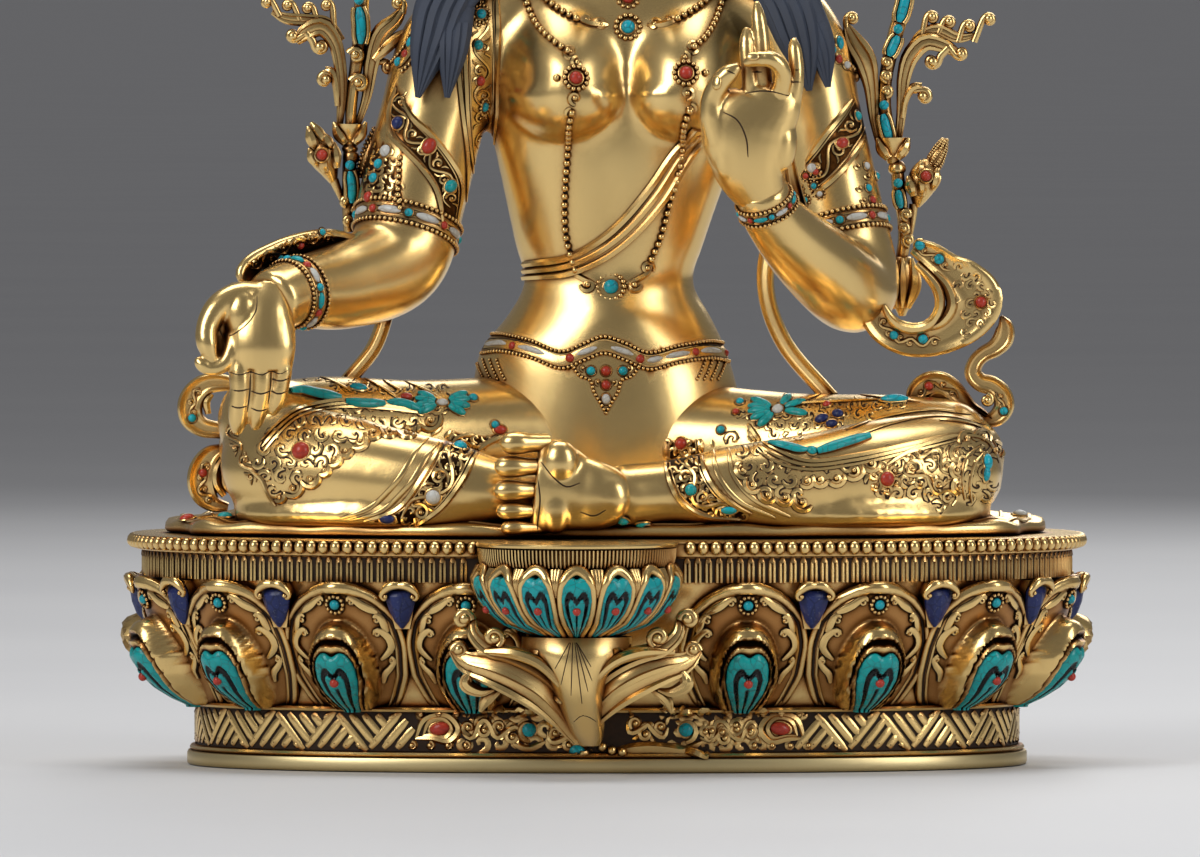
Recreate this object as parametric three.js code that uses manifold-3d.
// A seated goddess figure of gilded cast copper on an oval lotus throne, with inlaid stones.
// Millimetres, +Z up, +X to the right of someone facing the figure, the front towards -Y.
// The origin is the middle of the throne's underside.
import * as THREE from "three";
import { mergeVertices } from "three/addons/utils/BufferGeometryUtils.js";
import Module from "manifold-3d";

const wasm = await Module();
wasm.setup();

// Throne plan
const BAND_HALF_WIDTH = 118;
const BAND_HALF_DEPTH = 66;
const PLAN_EXPONENT = 2.4;
const PLAN_SEGMENTS = 50;

// Throne heights, from the ground up
const FOOT_RING_HEIGHT = 4.2;
const FOOT_COVE_HEIGHT = 1.6;
const BAND_HEIGHT = 11.8;
const PETAL_ZONE_HEIGHT = 36.4;
const STAMEN_HEIGHT = 7.4;
const RIM_HEIGHT = 4.6;

// How far each tier stands out from the lower band
const FOOT_RING_OUT = 2;
const STAMEN_OUT = 15.4;
const RIM_OUT = 18.7;

// Big lotus petals
const PETAL_COUNT = 18;
const FOOTREST_SHARE = 0.109;
const PETAL_HALF_WIDTH = 17.6;
const PETAL_OUT = 20.2;
const PETAL_ROOT = 2;
const FRONT_STONES = 4;
const BOSS_HALF_WIDTH = 10.6;
const BOSS_OUT = 20.4;
const INLAY_HALF_WIDTH = 6.2;
const INLAY_THICKNESS = 1.8;
const LAPIS_HALF_WIDTH = 4.4;
const LAPIS_THICKNESS = 1.6;
const LAPIS_ENDS = [
  [0.62, 0.25],
  [0.94, 1],
];

// Footrest lotus in front
const FOOTREST_X = -8.5;
const FOOTREST_RADIUS = 28.2;
const FOOTREST_BAND_HEIGHT = 7.2;
const FOOTREST_BOWL_HEIGHT = 20;
const FOOTREST_STALK_RADIUS = 8;
const FOOTREST_PETALS = 7;
const FOOTREST_PETAL_ANGLE = Math.PI / 7.5;
const FOOTREST_STONE_HALF_WIDTH = 5;
const FOOTREST_STONE_THICKNESS = 2.2;

// Stones lie this far off their flats, and separate castings stand this far apart
const GAP = 0.3;
const SLOPE_GAP = 0.45;

// The figure, whose pose is given in shares of its height: 272 parts from the deck to the finial
const FIGURE_HEIGHT = 272;
const FIGURE_PARTS = 272;
const HEM_THICKNESS = 3.6;
const SCARF_THICKNESS = 3;
const SPRAY_STEM_RADIUS = 2.6;
const SPRAY_LEAF_THICKNESS = 3.6;

const GOLD = { color: 0xd9a441, roughness: 0.25, metalness: 1 };
const TURQUOISE = { color: 0x1fa79a, roughness: 0.4, metalness: 0 };
const LAPIS = { color: 0x1f2f7a, roughness: 0.4, metalness: 0 };

const petalBase = FOOT_RING_HEIGHT + FOOT_COVE_HEIGHT + BAND_HEIGHT;
const stamenBase = petalBase + PETAL_ZONE_HEIGHT;
const rimBase = stamenBase + STAMEN_HEIGHT;
const deckHeight = rimBase + RIM_HEIGHT;
const part = FIGURE_HEIGHT / FIGURE_PARTS;

// Solids

function solidOf(geometry) {
  const plain = geometry.index ? geometry.toNonIndexed() : geometry.clone();
  plain.deleteAttribute("normal");
  plain.deleteAttribute("uv");
  const merged = mergeVertices(plain, 1e-3);
  return new wasm.Manifold(
    new wasm.Mesh({
      numProp: 3,
      vertProperties: merged.attributes.position.array,
      triVerts: new Uint32Array(merged.index.array),
    }),
  );
}

function geometryOf(solid) {
  const mesh = solid.getMesh();
  const geometry = new THREE.BufferGeometry();
  geometry.setAttribute("position", new THREE.BufferAttribute(mesh.vertProperties, 3));
  geometry.setIndex(new THREE.BufferAttribute(mesh.triVerts, 1));
  geometry.computeVertexNormals();
  return geometry;
}

const join = (solids) => solids.reduce((sum, next) => sum.add(next));

// The biggest body of a solid, without sealed hollows or loose crumbs.
function mainBody(solid) {
  return solid.decompose().reduce((best, next) => (next.volume() > best.volume() ? next : best));
}

// A closed skin through rings of equally many points, with a cap at each end.
function loft(rings) {
  const count = rings[0].length;
  const points = rings.flat();
  const faces = [];
  for (let r = 0; r + 1 < rings.length; r += 1) {
    for (let i = 0; i < count; i += 1) {
      const next = (i + 1) % count;
      const [a, b] = [r * count + i, r * count + next];
      faces.push([a, b, b + count], [a, b + count, a + count]);
    }
  }
  for (const [ring, first, flip] of [
    [rings[0], 0, true],
    [rings.at(-1), (rings.length - 1) * count, false],
  ]) {
    const middle = points.length;
    const sum = ring.reduce((total, p) => total.add(p), new THREE.Vector3());
    points.push(sum.divideScalar(count));
    for (let i = 0; i < count; i += 1) {
      const [a, b] = [first + i, first + ((i + 1) % count)];
      faces.push(flip ? [middle, b, a] : [middle, a, b]);
    }
  }
  const volume = faces.reduce((sum, [a, b, c]) => {
    const cross = new THREE.Vector3().crossVectors(points[b], points[c]);
    return sum + points[a].dot(cross);
  }, 0);
  const outward = volume < 0 ? faces.map(([a, b, c]) => [a, c, b]) : faces;
  const geometry = new THREE.BufferGeometry().setFromPoints(points);
  geometry.setIndex(outward.flat());
  return solidOf(geometry);
}

// A round or flattened limb along a smooth curve. Each station is x, y, z, the half breadth across and
// the half thickness; `across` is the direction in which the breadth is measured.
function limb(stations, { sides = 8, steps = 8, across = [1, 0, 0], grow = 0, place = inFigure } = {}) {
  const curve = new THREE.CatmullRomCurve3(
    stations.map(([x, y, z]) => place(x, y, z)),
    false,
    "centripetal",
  );
  const sizes = new THREE.CatmullRomCurve3(
    stations.map((s) => new THREE.Vector3(s[3], s[4] ?? s[3], 0)),
  );
  const wide = new THREE.Vector3(...across);
  const rings = [];
  for (let step = 0; step <= steps; step += 1) {
    const t = step / steps;
    const [centre, along] = [curve.getPoint(t), curve.getTangent(t)];
    const side = wide.clone().addScaledVector(along, -wide.dot(along)).normalize();
    const depth = new THREE.Vector3().crossVectors(along, side);
    const size = sizes.getPoint(t).multiplyScalar(part).addScalar(grow);
    rings.push(
      Array.from({ length: sides }, (_, i) => {
        const angle = (2 * Math.PI * (i + 0.5)) / sides;
        return centre
          .clone()
          .addScaledVector(side, size.x * Math.cos(angle))
          .addScaledVector(depth, size.y * Math.sin(angle));
      }),
    );
  }
  return loft(rings);
}

// Level rings stacked up the figure. Each is z, x, y, half width, half depth.
function stack(levels, { sides = 16, power = 2 } = {}) {
  return loft(
    levels.map(([z, x, y, halfWidth, halfDepth]) =>
      Array.from({ length: sides }, (_, i) => {
        const angle = (2 * Math.PI * (i + 0.5)) / sides;
        const [c, s] = [Math.cos(angle), Math.sin(angle)];
        return inFigure(
          x + halfWidth * Math.sign(c) * Math.abs(c) ** (2 / power),
          y + halfDepth * Math.sign(s) * Math.abs(s) ** (2 / power),
          z,
        );
      }),
    ),
  );
}

function ball(x, y, z, [rx, ry, rz], { around = 8, up = 6 } = {}) {
  const geometry = new THREE.SphereGeometry(1, around, up);
  geometry.rotateX(Math.PI / 2).scale(rx * part, ry * part, rz * part);
  return solidOf(geometry.translate(...inFigure(x, y, z)));
}

function inFigure(x, y, z) {
  return new THREE.Vector3(x * part, y * part, deckHeight + GAP + z * part);
}

// The throne's plan

function planPoint(turn, out = 0) {
  const power = 2 / PLAN_EXPONENT;
  const [c, s] = [Math.cos(turn), Math.sin(turn)];
  const [ac, as] = [Math.abs(c), Math.abs(s)];
  const x = BAND_HALF_WIDTH * Math.sign(c) * ac ** power;
  const y = BAND_HALF_DEPTH * Math.sign(s) * as ** power;
  const normal = new THREE.Vector3(
    (Math.sign(c) * ac ** (2 - power)) / BAND_HALF_WIDTH,
    (Math.sign(s) * as ** (2 - power)) / BAND_HALF_DEPTH,
    0,
  ).normalize();
  return { at: new THREE.Vector3(x, y, 0).addScaledVector(normal, out), normal };
}

// Turns that part the plan, measured along its edge at the petals, in the shares asked for. A share of
// zero is at the middle of the front, and larger ones follow to the right.
function turnsAt(shares) {
  const fine = 2880;
  const turnOf = (i) => -Math.PI / 2 + (2 * Math.PI * i) / fine;
  const lengths = [0];
  for (let i = 1; i <= fine; i += 1) {
    const [a, b] = [turnOf(i - 1), turnOf(i)].map((turn) => planPoint(turn, PETAL_OUT).at);
    lengths.push(lengths[i - 1] + a.distanceTo(b));
  }
  return shares.map((share) => turnOf(lengths.findIndex((length) => length >= share * lengths[fine])));
}

function throneCore() {
  const turns = turnsAt(Array.from({ length: PLAN_SEGMENTS }, (_, i) => i / PLAN_SEGMENTS));
  const level = (z, out) => turns.map((turn) => planPoint(turn, out).at.setZ(z));
  return loft([
    level(0, FOOT_RING_OUT),
    level(FOOT_RING_HEIGHT, FOOT_RING_OUT),
    level(FOOT_RING_HEIGHT + FOOT_COVE_HEIGHT, 0),
    level(petalBase, 0),
    level(stamenBase, STAMEN_OUT),
    level(rimBase, STAMEN_OUT + 0.6),
    level(rimBase + RIM_HEIGHT / 2, RIM_OUT),
    level(deckHeight, RIM_OUT - 0.6),
  ]);
}

// A shield on the throne's side at one turn, such as a petal or its stone. The rows go up it. Each holds
// its height and the points of its front from one edge towards the middle, as how far sideways and how
// far out from the band; the other half mirrors them. `rear` gives the points behind in the same way.
function shield(turn, rows, rear) {
  const { at, normal } = planPoint(turn);
  const along = new THREE.Vector3(-normal.y, normal.x, 0);
  return loft(
    rows.map(([z, ...front], row) => {
      const put = ([sideways, out]) =>
        at.clone().addScaledVector(along, sideways).addScaledVector(normal, out).setZ(z);
      const mirrored = front.map(([sideways, out]) => [-sideways, out]);
      return [...mirrored, ...front.reverse(), ...rear(row)].map(put);
    }),
  );
}

const up = (share) => petalBase + share * PETAL_ZONE_HEIGHT;

// The middle of a petal's front: heights in shares of the petal zone, half width, and how far out
const PETAL_FRONT = [
  [0.02, BOSS_HALF_WIDTH * 0.4, 3.5],
  [0.3, BOSS_HALF_WIDTH * 0.9, PETAL_OUT * 0.74],
  [0.5, BOSS_HALF_WIDTH, BOSS_OUT],
  [1, BOSS_HALF_WIDTH * 0.2, PETAL_OUT * 0.97],
];
const PETAL_EDGE = [
  [PETAL_HALF_WIDTH * 0.5, 1],
  [PETAL_HALF_WIDTH * 0.95, PETAL_OUT * 0.42],
  [PETAL_HALF_WIDTH, PETAL_OUT * 0.66],
  [PETAL_HALF_WIDTH * 0.4, PETAL_OUT * 0.93],
];

// The rear of a petal or sepal, rooted in the throne's side all along its breadth
const rooted = (share, half) =>
  [1, -1].map((side) => [side * half * 0.86, STAMEN_OUT * share - PETAL_ROOT]);

function petal(turn) {
  const rows = PETAL_FRONT.map(([share, half, out], i) => [up(share), PETAL_EDGE[i], [half, out]]);
  return shield(turn, rows, (row) => rooted(PETAL_FRONT[row][0], PETAL_EDGE[row][0]));
}

// A stone lies on a flat of the casting, a gap in front of it. SLOPE_GAP is that gap measured level,
// because the flats lean.
function stoneOn(turn, rows, thickness) {
  const front = rows.map(([share, half, seat]) => [up(share), [half, seat + SLOPE_GAP + thickness]]);
  return shield(turn, front, (row) =>
    [1, -1].map((side) => [side * rows[row][1], rows[row][2] + SLOPE_GAP]),
  );
}

function petalStone(turn) {
  const [foot, middle, top] = PETAL_FRONT;
  const lift = 0.15;
  const w = INLAY_HALF_WIDTH;
  return stoneOn(
    turn,
    [
      [foot[0] + (middle[0] - foot[0]) * lift, w * 0.36, foot[2] + (middle[2] - foot[2]) * lift],
      [middle[0], w * 0.84, middle[2]],
      [top[0], w, top[2]],
    ],
    INLAY_THICKNESS,
  );
}

// The sepal that shows between two petals, and the stone on it
const SEPAL_FRONT = [
  [0.5, LAPIS_HALF_WIDTH * 0.5, PETAL_OUT * 0.62],
  [1, LAPIS_HALF_WIDTH * 1.3, PETAL_OUT * 0.86],
];

function sepal(turn) {
  const rows = SEPAL_FRONT.map(([share, half, out]) => [up(share), [half, out]]);
  return shield(turn, rows, (row) => rooted(SEPAL_FRONT[row][0], SEPAL_FRONT[row][1]));
}

function lapisWedge(turn) {
  const [low, high] = SEPAL_FRONT;
  const rows = LAPIS_ENDS.map(([share, wide]) => {
    const rise = (share - low[0]) / (high[0] - low[0]);
    return [share, wide * LAPIS_HALF_WIDTH, low[2] + (high[2] - low[2]) * rise];
  });
  return stoneOn(turn, rows, LAPIS_THICKNESS);
}

// The petals' places from the right of the footrest round to its left, and the sepals' between them
const petalShare = (k) => FOOTREST_SHARE / 2 + ((1 - FOOTREST_SHARE) * (k - 1)) / (PETAL_COUNT - 1);
const petalTurns = turnsAt(Array.from({ length: PETAL_COUNT }, (_, i) => petalShare(i + 1)));
const sepalTurns = turnsAt(Array.from({ length: PETAL_COUNT - 1 }, (_, i) => petalShare(i + 1.5)));

// The footrest lotus

const footrestY = -(BAND_HALF_DEPTH + RIM_OUT);
const footrestBowlTop = deckHeight - FOOTREST_BAND_HEIGHT;
const footrestBowlBase = footrestBowlTop - FOOTREST_BOWL_HEIGHT;

// The bowl's side as radius and height, in shares. It has one flat to a petal.
const BOWL_SIDE = [
  [0.7, 0.18],
  [0.98, 0.56],
  [1.03, 0.86],
];
const petalAngle = (index) => (index - (FOOTREST_PETALS - 1) / 2) * FOOTREST_PETAL_ANGLE;

function footrestBowl() {
  const [r, h] = [FOOTREST_RADIUS, FOOTREST_BOWL_HEIGHT];
  const rimTop = deckHeight - footrestBowlBase;
  const profile = [
    [0, 0],
    [FOOTREST_STALK_RADIUS, 0],
    ...BOWL_SIDE.map(([out, rise]) => [out * r, rise * h]),
    [r * 0.94, h],
    [r, rimTop],
    [0, rimTop],
  ].map(([x, y]) => new THREE.Vector2(x, y));
  const flats = Math.round((2 * Math.PI) / FOOTREST_PETAL_ANGLE);
  const geometry = new THREE.LatheGeometry(profile, flats, FOOTREST_PETAL_ANGLE / 2).rotateX(Math.PI / 2);
  return solidOf(geometry.translate(FOOTREST_X, footrestY, footrestBowlBase));
}

// One petal stone of the footrest, on its flat of the bowl
function footrestStone(index) {
  const angle = petalAngle(index);
  const normal = new THREE.Vector3(Math.sin(angle), -Math.cos(angle), 0);
  const along = new THREE.Vector3(-normal.y, normal.x, 0);
  const flat = Math.cos(FOOTREST_PETAL_ANGLE / 2);
  return loft(
    BOWL_SIDE.map(([out, rise], row) => {
      const z = footrestBowlBase + rise * FOOTREST_BOWL_HEIGHT;
      const seat = out * FOOTREST_RADIUS * flat + SLOPE_GAP;
      const half = FOOTREST_STONE_HALF_WIDTH * [0.45, 0.9, 1][row];
      return [
        [-half, seat],
        [-half, seat + 1],
        [0, seat + FOOTREST_STONE_THICKNESS],
        [half, seat + 1],
        [half, seat],
      ].map(([sideways, outward]) =>
        new THREE.Vector3(FOOTREST_X, footrestY, z)
          .addScaledVector(along, sideways)
          .addScaledVector(normal, outward),
      );
    }),
  );
}

// The calyx under the footrest, shaped like a long leaf that hangs over the band, with its scrolls. Their
// points are how far sideways, how far in front of the bowl's middle and how far below the bowl.
function footrestCalyx() {
  const front = footrestY - 14;
  const rows = [
    [footrestBowlBase + 2, 15.5, front + 2],
    [footrestBowlBase - 5, 14.5, front],
    [footrestBowlBase - 12, 8.5, front + 1],
    [footrestBowlBase - 22, 5.2, front + 6],
    [FOOT_RING_HEIGHT + FOOT_COVE_HEIGHT, 3.2, front + 18],
  ];
  const x = FOOTREST_X;
  const body = loft(
    rows.map(([z, half, y]) => [
      new THREE.Vector3(x - half, y + 5, z),
      new THREE.Vector3(x, y, z),
      new THREE.Vector3(x + half, y + 5, z),
      new THREE.Vector3(x + half * 0.7, -BAND_HALF_DEPTH + 6, z),
      new THREE.Vector3(x - half * 0.7, -BAND_HALF_DEPTH + 6, z),
    ]),
  );
  const scroll = (side, points) =>
    limb(
      points.map(([dx, out, drop, r]) => [x + side * dx, footrestY - out, footrestBowlBase - drop, r]),
      { sides: 4, steps: 5, across: [0, 1, 0], place: (px, py, pz) => new THREE.Vector3(px, py, pz) },
    );
  const scrolls = [-1, 1].flatMap((side) => [
    scroll(side, [
      [4, 1.3, 26.8, 3.4],
      [12, 3.3, 21.8, 3.8],
      [18, 6.3, 14.8, 3.4],
      [22.4, 7.3, 7.8, 1.4],
    ]),
    scroll(side, [
      [10, 7.3, 6.8, 2.4],
      [16.6, 9.3, 6.8, 2.6],
      [21.4, 10.3, 1.8, 1.5],
    ]),
  ]);
  return join([body, ...scrolls]);
}

// The figure

const HEAD_X = 6;

function torso() {
  const trunk = stack(
    [
      [10, -1, 20, 44, 30],
      [38, -0.5, 18, 38.5, 27],
      [52, -1, 17, 35, 24],
      [61, 0.5, 16, 29.3, 20.5],
      [71, 0.5, 15, 24.2, 17.3],
      [82, 0.7, 14.5, 27, 18.2],
      [108, 2.6, 14, 34.5, 20.5],
      [124, 4.5, 14, 40, 20.5],
      [136, 5.5, 14, 46, 19],
      [147, 6, 14, 47, 15.5],
      [154, 6, 14, 36, 12.5],
      [160, 6, 14, 14, 11],
      [178, 6, 14, 10.5, 10.5],
    ],
    { sides: 14 },
  );
  const breasts = [-12.5, 24].map((x) => ball(x, -1, 125.5, [17, 15.4, 16], { up: 5 }));
  return [trunk, ...breasts];
}

function head() {
  const skull = stack(
    [
      [175.5, 6, 3, 4, 4],
      [179, 6, 6, 10, 10.5],
      [187, 6, 9, 14.6, 15.5],
      [198, 6, 12, 17.2, 19],
      [209, 6, 13.5, 18, 20.5],
      [220, 6, 14.5, 16.6, 19],
      [230, 6, 15, 8, 10],
    ],
    { sides: 10 },
  );
  const nose = limb(
    [
      [6, -6.6, 203, 1.2],
      [6, -9, 194, 2.2],
      [6, -9.4, 190.5, 2.8],
    ],
    { sides: 4, steps: 2 },
  );
  const ears = [-1, 1].map((side) =>
    limb(
      [
        [HEAD_X + side * 17.2, 12, 206, 2.4, 3.6],
        [HEAD_X + side * 18.2, 12, 192, 1.8, 2.8],
        [HEAD_X + side * 18.4, 10, 178, 1.6, 2],
      ],
      { sides: 4, steps: 3 },
    ),
  );
  const earrings = [-1, 1].map((side) =>
    ball(HEAD_X + side * 18.8, 9, 173.5, [5.4, 3, 5.4], { around: 6, up: 4 }),
  );
  return [skull, nose, ...ears, ...earrings];
}

function crown() {
  const band = stack(
    [
      [211, 6, 13.5, 19.6, 22.4],
      [217, 6, 14, 19.6, 22.4],
    ],
    { sides: 10 },
  );
  const leaves = [-62, -31, 0, 31, 62].map((degrees) => {
    const angle = (degrees * Math.PI) / 180;
    const tall = 25 - Math.abs(degrees) * 0.1;
    const [x, y] = [6 + 19.5 * Math.sin(angle), 14 - 22 * Math.cos(angle)];
    const across = [Math.cos(angle), Math.sin(angle), 0];
    return limb(
      [
        [x, y, 213, 4, 2],
        [x, y, 213 + tall * 0.4, 6.6, 2],
        [x, y, 213 + tall, 0.8, 0.8],
      ],
      { sides: 4, steps: 3, across },
    );
  });
  return [band, ...leaves];
}

function hair() {
  const topknot = stack(
    [
      [224, 6, 18, 12, 12],
      [233, 6, 18, 10.4, 10.4],
      [240, 6, 18, 12.4, 12.4],
      [251, 6, 18, 9.6, 9.6],
      [257, 6, 18, 3.4, 3.4],
      [264, 6, 18, 4.8, 4.8],
      [272, 6, 18, 0.5, 0.5],
    ],
    { sides: 8 },
  );
  const fall = limb(
    [
      [6, 30, 214, 14, 6],
      [6, 33, 190, 14, 6],
      [6, 33, 160, 19, 6],
      [6, 35, 104, 5, 3],
    ],
    { sides: 6, steps: 5 },
  );
  // Over each shoulder a lock falls in two points
  const locks = [
    [
      [-6, 24, 176, 4, 3],
      [-26, 10, 162, 5, 3],
      [-45, -3, 153, 8, 3],
      [-50, -8, 140, 6.4, 2.4],
      [-54, -9.4, 124, 0.8, 0.8],
    ],
    [
      [-43, -4, 150, 5.4, 3],
      [-44, -9, 138, 4.6, 2.4],
      [-45.6, -10, 124, 0.8, 0.8],
    ],
    [
      [18, 24, 176, 4, 3],
      [35, 10, 162, 5, 3],
      [50, -3, 153, 8, 3],
      [55, -8, 140, 6.4, 2.4],
      [57.6, -9.4, 126, 0.8, 0.8],
    ],
    [
      [56, -4, 150, 5.4, 3],
      [61, -8, 138, 4.2, 2.4],
      [63, -9, 127, 0.8, 0.8],
    ],
  ].map((stations) => limb(stations, { sides: 5, steps: stations.length }));
  return [topknot, fall, ...locks];
}

const RIGHT_ARM = [
  [-37, 13, 148, 12.5],
  [-44, 11, 139, 15],
  [-50, 8, 118, 15.2],
  [-55.5, 4, 96, 15.4],
  [-60, -2, 78, 14.4],
  [-76, -19, 70.5, 12.6],
  [-90, -36, 68.5, 9.6],
  [-96, -43, 66, 9],
];
const LEFT_ARM = [
  [49, 13, 148, 12.5],
  [56, 11, 139, 14.6],
  [60.5, 8, 116, 14.6],
  [65.6, 4, 92, 13.4],
  [71, -4, 69.5, 12.4],
  [59, -25, 78, 11.4],
  [46, -42, 92, 8.4],
  [43.4, -46, 99, 7.8],
];

function arms(grow = 0) {
  return [RIGHT_ARM, LEFT_ARM].map((line) => limb(line, { sides: 8, steps: 10, grow }));
}

// A finger or toe bent through three joints
const finger = (stations) => limb(stations, { sides: 4, steps: 3 });

function givingHand() {
  const palm = limb(
    [
      [-95, -41, 68, 6, 7],
      [-97.5, -46, 62, 9, 6],
      [-97.6, -49, 54, 9.6, 5],
      [-98, -49, 47.4, 8.9, 4],
    ],
    { sides: 6, steps: 4 },
  );
  const digits = [
    // Middle, ring and little finger hang down
    [
      [-103.8, -49, 50, 2.9],
      [-103.8, -49.6, 41.8, 2.7],
      [-104.4, -49, 36.7, 2.6],
      [-104.9, -47.6, 29.5, 1.5],
    ],
    [
      [-97.5, -49, 50, 2.8],
      [-97.6, -49.6, 41.8, 2.6],
      [-98.6, -49, 37.8, 2.5],
      [-99.9, -47.6, 30.9, 1.5],
    ],
    [
      [-92, -48.6, 50, 2.4],
      [-92, -49.2, 44.6, 2.3],
      [-92.6, -49, 40.4, 2.2],
      [-94.8, -48, 34.9, 1.4],
    ],
    // The thumb bows outward to the curled forefinger
    [
      [-98, -44, 66, 4.2],
      [-109, -48, 65.4, 4],
      [-113.4, -50.4, 58, 3.4],
      [-111.4, -52, 50, 2.2],
    ],
    [
      [-106.4, -49, 56, 2.4],
      [-107.4, -50.6, 49.6, 2.1],
      [-113, -51.4, 47.7, 2],
      [-116, -52, 50.2, 1.2],
    ],
    // The bud that the two hold
    [
      [-110, -50.6, 47.4, 1.6],
      [-110, -50.6, 43.6, 2.8],
      [-110, -50, 40, 2],
      [-110, -49.4, 37, 0.8],
    ],
  ].map(finger);
  return [palm, ...digits];
}

function teachingHand() {
  const palm = limb(
    [
      [43.4, -45, 97, 7.6, 7],
      [40, -49, 105, 10.4, 6.6],
      [40.2, -51, 115, 13.6, 5.6],
      [45.4, -51, 122, 9.6, 4.6],
      [46.6, -51, 126.4, 8.4, 3.6],
    ],
    { sides: 6, steps: 5 },
  );
  const digits = [
    // Thumb and ring finger meet at their tips
    [
      [31.4, -51, 114, 4],
      [29.6, -52.6, 122.6, 3.2],
      [32.4, -54.6, 128.6, 2.6],
      [37.2, -56, 133, 1.4],
    ],
    [
      [47.4, -51, 122, 2.6],
      [49.4, -55.6, 131.4, 2.5],
      [45, -58, 135.2, 2.3],
      [38.8, -57, 133.8, 1.5],
    ],
    // Forefinger, middle finger and little finger stand up
    [
      [41, -50.4, 121, 2.6],
      [40.2, -52, 131, 2.4],
      [39.4, -51.6, 138, 2.2],
      [39.4, -50.4, 144, 1.2],
    ],
    [
      [44.2, -49.6, 120.4, 2.6],
      [44, -51.4, 133, 2.5],
      [43.4, -51, 143, 2.3],
      [42.4, -49.4, 151.4, 1],
    ],
    [
      [51.8, -50.4, 120, 2.6],
      [53.6, -51.4, 130.6, 2.4],
      [53.4, -51, 136, 2.2],
      [52.8, -50, 141, 1.2],
    ],
  ].map(finger);
  return [palm, ...digits];
}

function legs() {
  const rightThigh = limb(
    [
      [-16, 14, 24, 21],
      [-54, 0, 24, 19.4],
      [-84, -12, 24, 20.4],
      [-99, -19, 22.6, 18],
      [-108, -22, 21.4, 9],
    ],
    { sides: 8, steps: 5, across: [0, 0, 1] },
  );
  const leftThigh = limb(
    [
      [16, 14, 23, 20],
      [54, 0, 21.6, 18],
      [84, -12, 20.6, 18.6],
      [101, -19, 19.4, 17.4],
      [111, -22, 19, 9.4],
    ],
    { sides: 8, steps: 5, across: [0, 0, 1] },
  );
  const rightShin = limb(
    [
      [-100, -23, 19.6, 17],
      [-84, -36, 18, 18],
      [-62, -46, 15.5, 15.5],
      [-42, -52, 13.5, 12.6],
      [-30, -54, 12.5, 9.5],
      [-14, -50, 11, 8],
    ],
    { sides: 8, steps: 5, across: [0, 0, 1] },
  );
  const leftShin = limb(
    [
      [99, -24, 17.6, 16],
      [82, -37, 17, 16.6],
      [56, -48, 14.5, 14.5],
      [34, -54, 13, 12.6],
      [18, -56, 12.4, 9.6],
      [2, -60, 11.5, 9.2],
    ],
    { sides: 8, steps: 5, across: [0, 0, 1] },
  );
  return [rightThigh, leftThigh, rightShin, leftShin];
}

// The foot whose sole faces forward, heel to the right, with the big toe on top
function soleFoot() {
  const sole = limb(
    [
      [5.4, -62, 12, 3, 4],
      [2, -64, 11.6, 8.4, 6],
      [-7, -65, 12.6, 11.5, 6],
      [-16, -66, 14.6, 14, 5.4],
      [-20.5, -66, 15, 13.4, 4.4],
    ],
    { sides: 8, steps: 5, across: [0, 0, 1] },
  );
  const toes = [
    [26.4, 3.5, 11.6],
    [20.4, 2.9, 12.4],
    [14.7, 2.7, 12],
    [9.3, 2.6, 11.4],
    [4.2, 2.5, 10],
  ].map(([z, r, reach]) =>
    limb(
      [
        [-17.5, -66.5, z, r],
        [-17.5 - reach * 0.7, -68, z, r],
        [-17.5 - reach, -67.5, z, r * 0.6],
      ],
      { sides: 4, steps: 2, across: [0, 0, 1] },
    ),
  );
  return [sole, ...toes];
}

// The hem of the skirt, spread flat on the deck with shallow folds
function hem() {
  const count = 26;
  const outline = (grow, z) =>
    Array.from({ length: count }, (_, i) => {
      const angle = (2 * Math.PI * i) / count;
      const fold = 1 + 0.012 * Math.sin(9 * angle) + 0.01 * Math.cos(14 * angle);
      const [c, s] = [Math.cos(angle), Math.sin(angle)];
      const [x, y] = [Math.sign(c) * Math.abs(c) ** 0.86, Math.sign(s) * Math.abs(s) ** 0.86];
      return inFigure(-0.5 + x * (124 + grow) * fold, -2 + y * (60 + grow) * fold, z);
    });
  const thick = HEM_THICKNESS / part;
  return loft([outline(0, 0), outline(-1.5, thick), outline(-26, thick + 3)]);
}

function scarf(stations, { across = [0, 1, 0], steps = 6, grow = 0 }) {
  const thick = SCARF_THICKNESS / 2 / part;
  return limb(
    stations.map(([x, y, z, half]) => [x, y, z, half, thick]),
    { sides: 4, steps, across, grow },
  );
}

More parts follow.
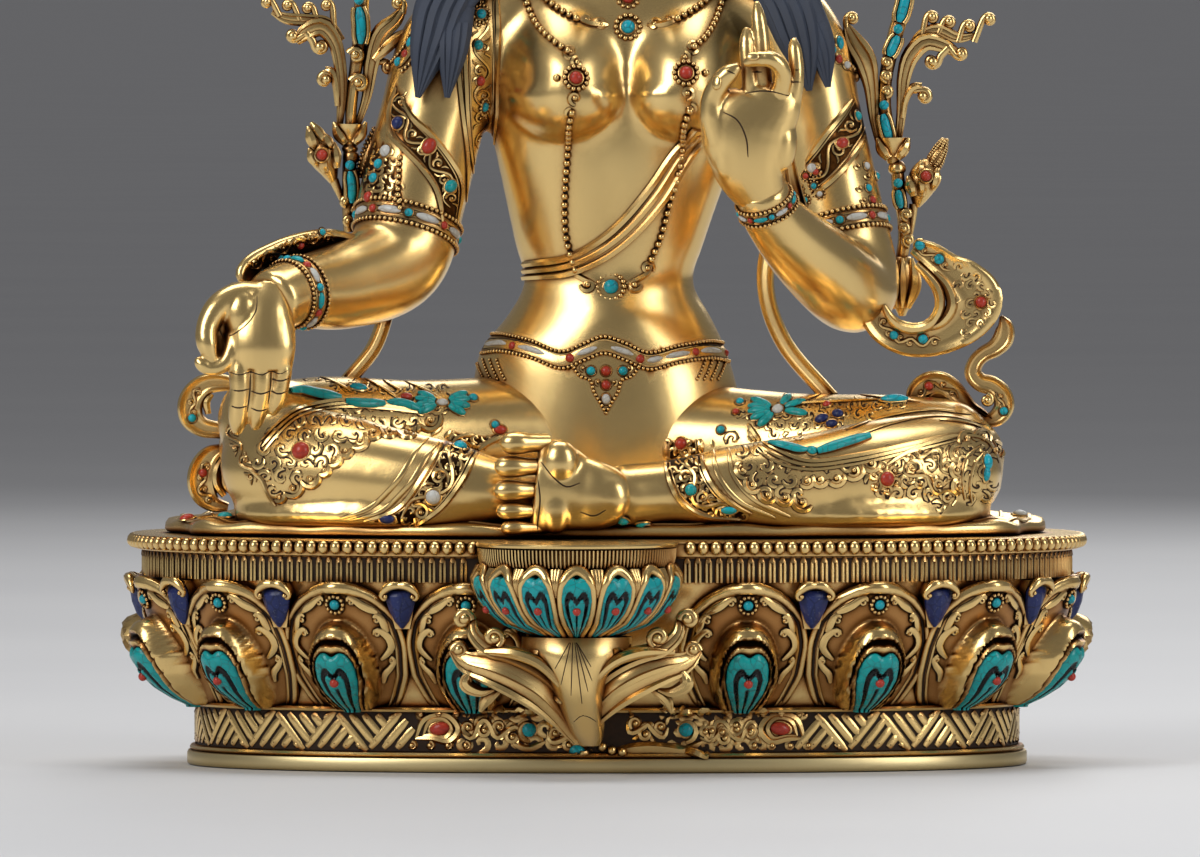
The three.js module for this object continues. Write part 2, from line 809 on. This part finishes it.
function scarves(grow = 0) {
  return [
    // From the right elbow down behind the arm to the knee
    scarf(
      [
        [-61, 2, 80, 3],
        [-64, 3, 66, 2.6],
        [-67.6, 0, 53, 2.4],
        [-75, -6, 42, 2.6],
      ],
      { steps: 5, grow },
    ),
    // The stiff fold that stands behind the right forearm
    scarf(
      [
        [-66, -8, 78, 4],
        [-80, -20, 82, 5],
        [-95, -30, 78, 6],
        [-104, -35, 72, 5],
        [-103, -34, 62, 2],
      ],
      { across: [0.4, -0.4, 1], grow },
    ),
    // Curled ends beside the right knee
    scarf(
      [
        [-100, -8, 42, 4],
        [-112, -8, 43, 5],
        [-117.4, -8, 34, 5],
        [-109, -10, 27.6, 4],
      ],
      { steps: 5, grow },
    ),
    scarf(
      [
        [-100, -6, 25, 4],
        [-113, -8, 24, 6],
        [-116.4, -8, 13, 6],
        [-108, -8, 3, 4],
      ],
      { steps: 5, grow },
    ),
    // From the left elbow down behind the arm to the thigh
    scarf(
      [
        [54, 8, 96, 3],
        [44.6, 9, 80, 2.4],
        [43.6, 8, 68, 2.2],
        [49, 5, 54, 2.2],
        [64, -2, 38, 2.6],
      ],
      { steps: 7, grow },
    ),
    // Over the left forearm and out in a wide loop beside the elbow
    scarf(
      [
        [53, -42, 107, 2.6],
        [59, -37, 98, 4],
        [67, -26, 86, 5],
        [75, -16, 74, 5],
        [80, -14, 63, 5],
        [88, -14, 56, 5.6],
        [98, -14, 57, 7],
        [104.6, -14, 66, 8],
        [101, -13, 76, 7],
        [92, -12, 81.4, 5],
        [86.6, -11, 79, 2.6],
      ],
      { across: [0.7, 0, 0.7], steps: 13, grow },
    ),
    // The end that curls up from the left knee
    scarf(
      [
        [88, -9.7, 36, 5],
        [93, -11.2, 42, 5],
        [101, -11.4, 40.4, 5],
        [107, -11.3, 33, 6],
        [113, -11.1, 38, 5],
        [108, -10.9, 47, 4],
        [104, -10.8, 56, 4],
        [110, -10.6, 62, 5],
        [113, -10.4, 68, 1.5],
      ],
      { steps: 10, grow },
    ),
  ];
}

function jewellery() {
  const belt = stack(
    [
      [50, -1, 17, 36.6, 25.8],
      [55.5, -1, 16.6, 35.6, 25],
    ],
    { sides: 14 },
  );
  const pendant = limb(
    [
      [-1, -8.6, 52, 14, 2],
      [-1, -9.8, 46, 8.6, 2],
      [-1, -12, 35, 1, 1.2],
    ],
    { sides: 6, steps: 2 },
  );
  return [belt, pendant];
}

function figure() {
  return join([
    ...torso(),
    ...head(),
    ...crown(),
    ...hair(),
    ...arms(),
    ...givingHand(),
    ...teachingHand(),
    ...legs(),
    ...soleFoot(),
    hem(),
    ...scarves(),
    ...jewellery(),
  ]);
}

// Lotus sprays: upright stems with curled leaves, a bud and an open flower, fixed behind the arms

const SPRAY_DEPTH = 9;
const LEAF_STEP = 0.43;
const RIGHT_SPRAY = {
  stem: [
    [-71.6, 80, 2],
    [-73, 90, 2.4],
    [-73.2, 114, 2],
    [-73, 118, 3.6],
    [-72.4, 126, 2.6],
    [-71.4, 150, 4],
    [-70, 190, 2.2],
  ],
  leaves: [
    [
      [-73, 116, 1.6],
      [-75.5, 127, 1.8],
      [-80.2, 132.6, 1.8],
      [-83.2, 129.4, 1.4],
    ],
    [
      [-73, 120, 2.4],
      [-76, 137, 2.6],
      [-82, 143.6, 3],
      [-91, 145, 4],
      [-98, 151, 1.4],
    ],
    [
      [-72, 122, 2],
      [-67.6, 137, 2.4],
      [-62.6, 144, 3],
      [-57.4, 151, 1.2],
    ],
    [
      [-71.6, 148, 2],
      [-79, 160, 3],
      [-88, 164, 3.6],
      [-92, 172, 1.2],
    ],
  ],
  bud: [
    [-74, 92, 1.6],
    [-79.6, 100, 3.2],
    [-82, 108.4, 5],
    [-86.4, 118, 1],
  ],
  // A peg holds the stem to the arm
  peg: [
    [-73, 9, 95],
    [-60, 5, 95],
  ],
};
const LEFT_SPRAY = {
  stem: [
    [79.6, 64, 1.4],
    [84, 68, 4],
    [84.6, 76, 4.4],
    [84.4, 84, 2],
    [82.4, 104, 2.4],
    [82, 112, 3.6],
    [81.8, 135, 4],
    [86, 190, 2.2],
  ],
  leaves: [
    [
      [82.6, 112, 1.6],
      [85.4, 123.5, 1.8],
      [89.6, 127.6, 1.8],
      [93.6, 124, 1.4],
    ],
    [
      [82.6, 122, 2.4],
      [86.4, 138, 2.8],
      [93, 142, 3.4],
      [100.4, 139.6, 3.4],
      [101.4, 134, 1.6],
    ],
    [
      [86.7, 138.3, 2.1],
      [94, 146.6, 3],
      [102, 146, 3.6],
      [112, 148, 1.2],
    ],
    [
      [81, 118, 2],
      [77, 129, 2.4],
      [72.6, 138, 3],
      [68.6, 146, 1.2],
    ],
  ],
  bud: [
    [84, 90, 1.6],
    [89.4, 97, 3.6],
    [91.6, 104, 5.4],
    [97, 113, 1],
  ],
  peg: [
    [83, 9, 95],
    [68, 4, 93],
  ],
};

function spray({ stem, leaves, bud, peg }) {
  const flat = SPRAY_LEAF_THICKNESS / 2 / part;
  const branch = (stations, thick, sides, steps, depth = SPRAY_DEPTH) =>
    limb(
      stations.map(([x, z, half]) => [x, depth, z, half, Math.min(half, thick)]),
      { sides, steps, across: [1, 0.08, 0.2] },
    );
  const [topX, topZ] = stem.at(-1);
  const bloom = stack(
    [
      [topZ - 4, topX, SPRAY_DEPTH, 3, 3],
      [topZ + 4, topX, SPRAY_DEPTH, 11, 8],
      [topZ + 12, topX, SPRAY_DEPTH, 13, 9],
      [topZ + 24, topX, SPRAY_DEPTH, 7, 6],
      [topZ + 32, topX, SPRAY_DEPTH, 1, 1],
    ],
    { sides: 6 },
  );
  const whole = join([
    branch(stem, SPRAY_STEM_RADIUS / part, 5, 9),
    ...leaves.map((stations, i) => branch(stations, flat, 4, 4, SPRAY_DEPTH + LEAF_STEP * (i - 1.3))),
    branch(bud, 3 / part, 5, 4),
    limb(
      peg.map(([x, y, z]) => [x, y, z, SPRAY_STEM_RADIUS / part]),
      { sides: 4, steps: 1, across: [0, 0, 1] },
    ),
    bloom,
  ]);
  return whole.subtract(join([...arms(GAP), ...scarves(GAP)]));
}

// Assembly

const statue = new THREE.Group();
statue.name = "tara_figure";

function place(name, solid, look) {
  const mesh = new THREE.Mesh(geometryOf(mainBody(solid)), new THREE.MeshStandardMaterial(look));
  mesh.name = name;
  statue.add(mesh);
}

const atEnds = (turns) => [...turns.slice(0, FRONT_STONES), ...turns.slice(-FRONT_STONES)];
const frontPetals = atEnds(petalTurns);
const frontSepals = atEnds(sepalTurns);
const footrestPetals = Array.from({ length: FOOTREST_PETALS }, (_, i) => i);

const carvedThrone = join([
  throneCore(),
  ...petalTurns.map(petal),
  ...frontSepals.map(sepal),
  footrestBowl(),
  footrestCalyx(),
]);
place("lotus_throne", carvedThrone, GOLD);
frontPetals.forEach((turn, i) => place(`petal_turquoise_${i + 1}`, petalStone(turn), TURQUOISE));
frontSepals.forEach((turn, i) => place(`lapis_wedge_${i + 1}`, lapisWedge(turn), LAPIS));
footrestPetals.forEach((i) => place(`footrest_turquoise_${i + 1}`, footrestStone(i), TURQUOISE));

place("figure", figure(), GOLD);
place("lotus_spray_right", spray(RIGHT_SPRAY), GOLD);
place("lotus_spray_left", spray(LEFT_SPRAY), GOLD);

statue.updateMatrixWorld(true);

export default statue;
